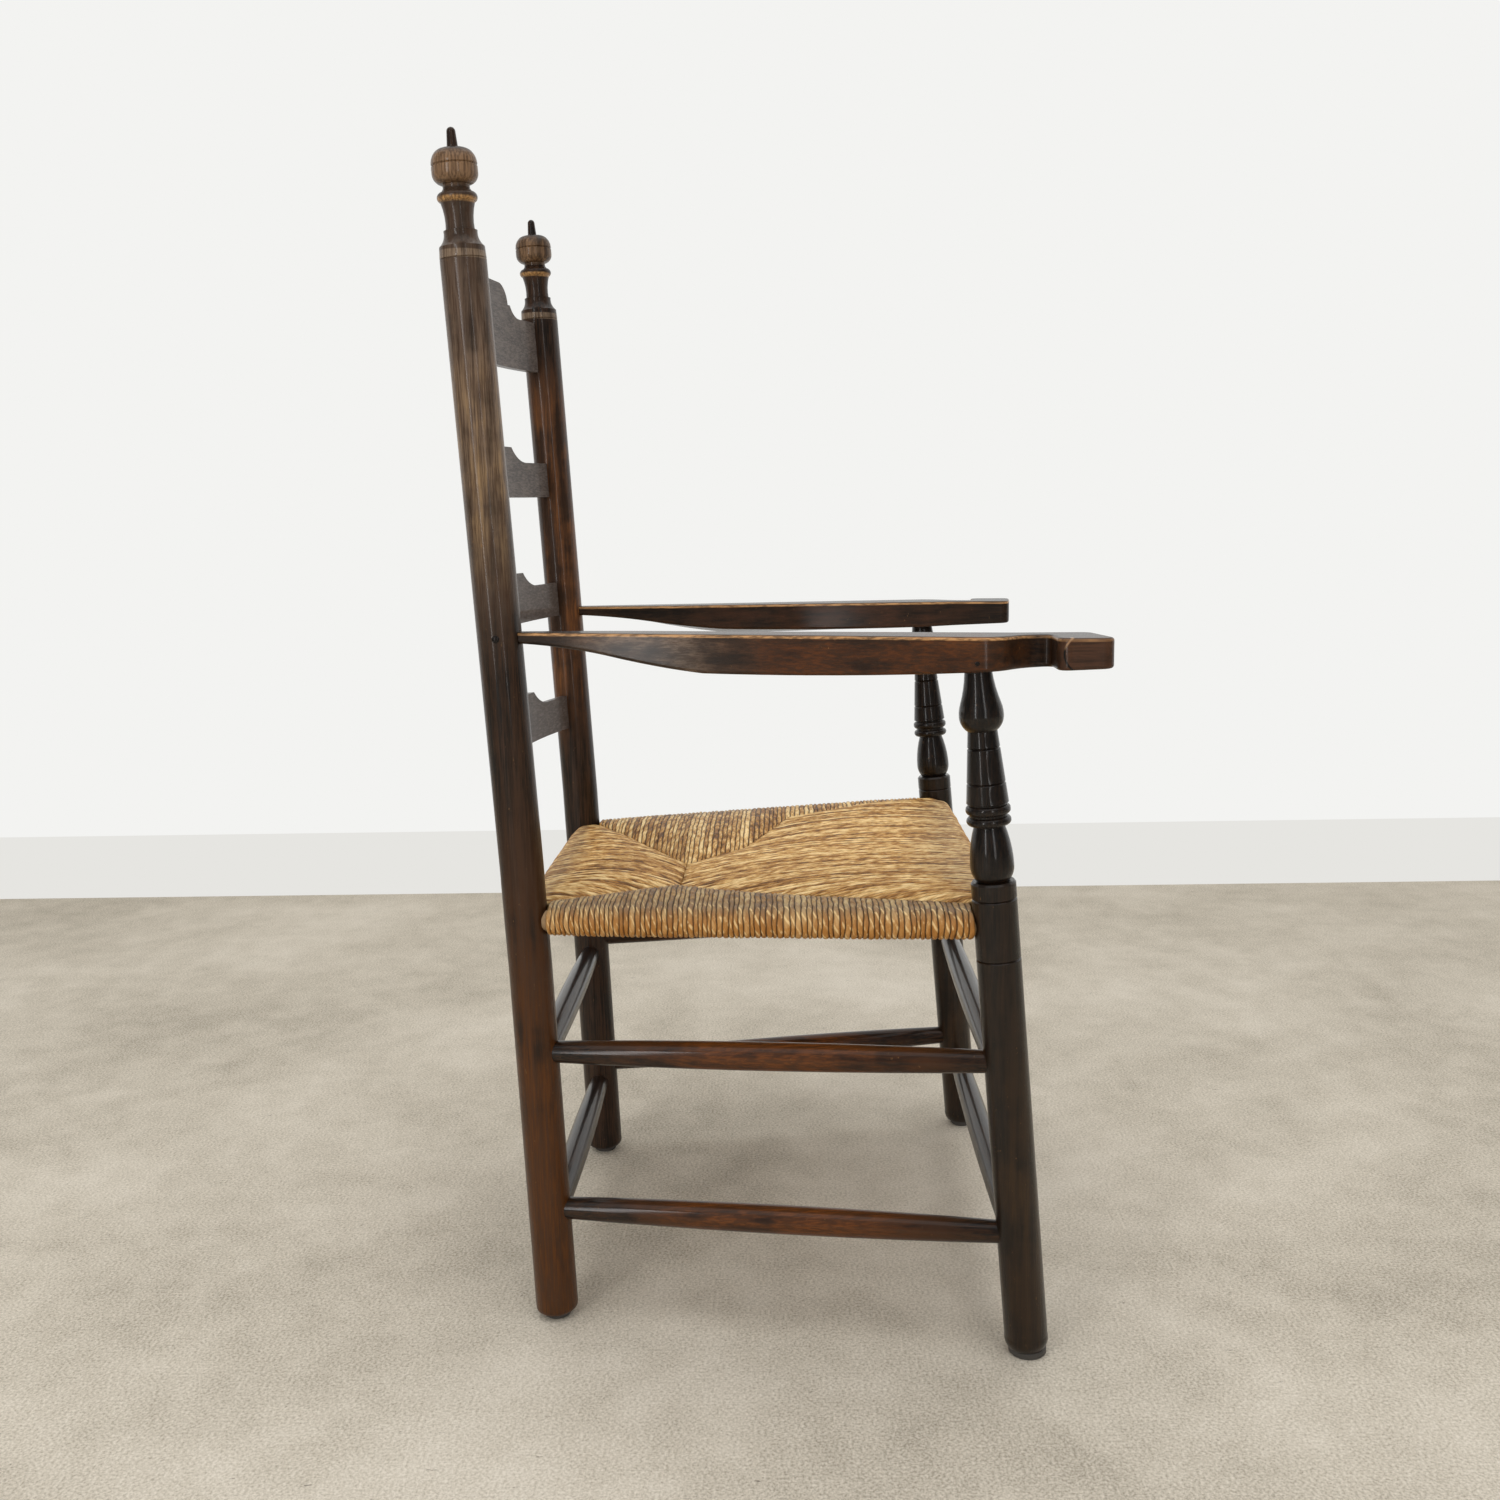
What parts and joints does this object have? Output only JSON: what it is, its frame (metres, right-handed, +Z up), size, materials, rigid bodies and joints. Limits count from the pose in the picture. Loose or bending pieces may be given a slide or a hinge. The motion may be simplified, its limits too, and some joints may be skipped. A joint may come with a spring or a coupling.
{
  "type": "ladderback armchair",
  "caption": "Ladderback armchair with turned finials and front posts, bowed slats, flat shaped arms and a woven rush seat, for one person to sit on.",
  "frame": {"origin": "centre of the bounding box's bottom face, on the floor", "axes": "+Z up, -Y the way the sitter faces, +X to the sitter's left"},
  "size_m": [0.6682, 0.6339, 1.1799],
  "materials": {
    "wood": "worn dark varnish",
    "peg": "dark varnish",
    "rail_wood": "bare",
    "rush": "dry, softly glossy",
    "glide": "satin",
    "nail": "dull"
  },
  "bodies": {
    "root": {"back_post_left": "wood", "back_post_right": "wood", "front_post_left": "wood", "front_post_right": "wood", "slat_1": "wood", "slat_2": "wood", "slat_3": "wood", "slat_4": "wood", "arm_left": "wood", "arm_right": "wood", "arm_peg_left": "peg", "arm_peg_right": "peg", "arm_pin_left": "peg", "arm_pin_right": "peg", "side_stretcher_upper_left": "wood", "side_stretcher_upper_right": "wood", "side_stretcher_lower_left": "wood", "side_stretcher_lower_right": "wood", "front_stretcher_upper": "wood", "front_stretcher_lower": "wood", "back_stretcher_upper": "wood", "back_stretcher_lower": "wood", "seat_rail_front": "rail_wood", "seat_rail_back": "rail_wood", "seat_rail_left": "rail_wood", "seat_rail_right": "rail_wood", "rush_seat": "rush", "glide_front_left": "glide", "glide_front_right": "glide", "glide_back_left": "glide", "glide_back_right": "glide", "glide_nails": "nail"}
  },
  "joints": []
}
